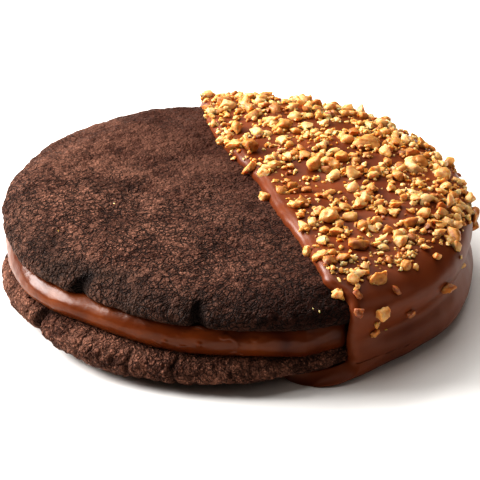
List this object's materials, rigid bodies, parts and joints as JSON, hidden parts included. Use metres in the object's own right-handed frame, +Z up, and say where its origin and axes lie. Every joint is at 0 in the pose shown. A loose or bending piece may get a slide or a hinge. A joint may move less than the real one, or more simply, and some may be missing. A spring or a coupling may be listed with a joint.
{
  "type": "chocolate sandwich cookie",
  "caption": "Round dark cocoa sandwich cookie with a chocolate filling, one side dipped in milk chocolate and scattered with chopped roasted nuts.",
  "frame": {"origin": "under the middle of the whole, on the surface it lies on", "axes": "+Z up, through the two biscuits; +X towards the chocolate-dipped side; -Y towards the shown front"},
  "size_m": [0.085, 0.088, 0.0218],
  "materials": {
    "cocoa_biscuit": "matte baked cocoa biscuit, finely crackled on top and craggy at the rim",
    "chocolate_filling": "glossy smooth chocolate cream",
    "milk_chocolate_and_nuts": "satin milk chocolate with chopped roasted nuts"
  },
  "bodies": {
    "root": {"cookie_bottom": "cocoa_biscuit", "filling": "chocolate_filling", "cookie_top": "cocoa_biscuit", "chocolate_coat": "milk_chocolate_and_nuts"}
  },
  "joints": []
}
